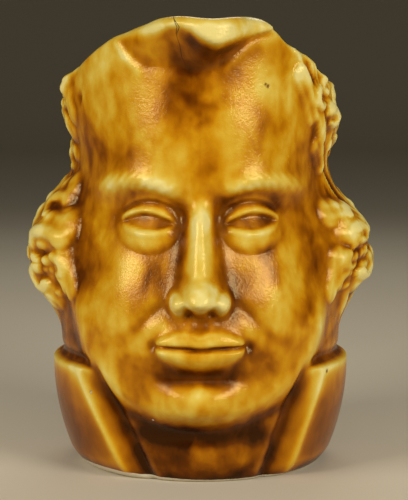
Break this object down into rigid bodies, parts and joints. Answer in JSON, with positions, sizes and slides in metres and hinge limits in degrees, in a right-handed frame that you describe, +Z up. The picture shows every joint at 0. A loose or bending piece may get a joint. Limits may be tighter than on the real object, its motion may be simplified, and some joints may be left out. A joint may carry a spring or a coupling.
{
  "type": "jug",
  "caption": "Pouring jug modelled as a head in relief, with a beaked spout, curled hair, a standing collar and a loop handle.",
  "frame": {"origin": "centre of the flat underside of the foot", "axes": "+Z up; -Y towards the face and the spout; +Y towards the handle; +X to the right as seen from in front"},
  "size_m": [0.1255, 0.1568, 0.16],
  "materials": {
    "amber_glaze": "glossy amber glaze over pale clay, bare on the foot"
  },
  "bodies": {
    "root": {"jug": "amber_glaze"}
  },
  "joints": []
}
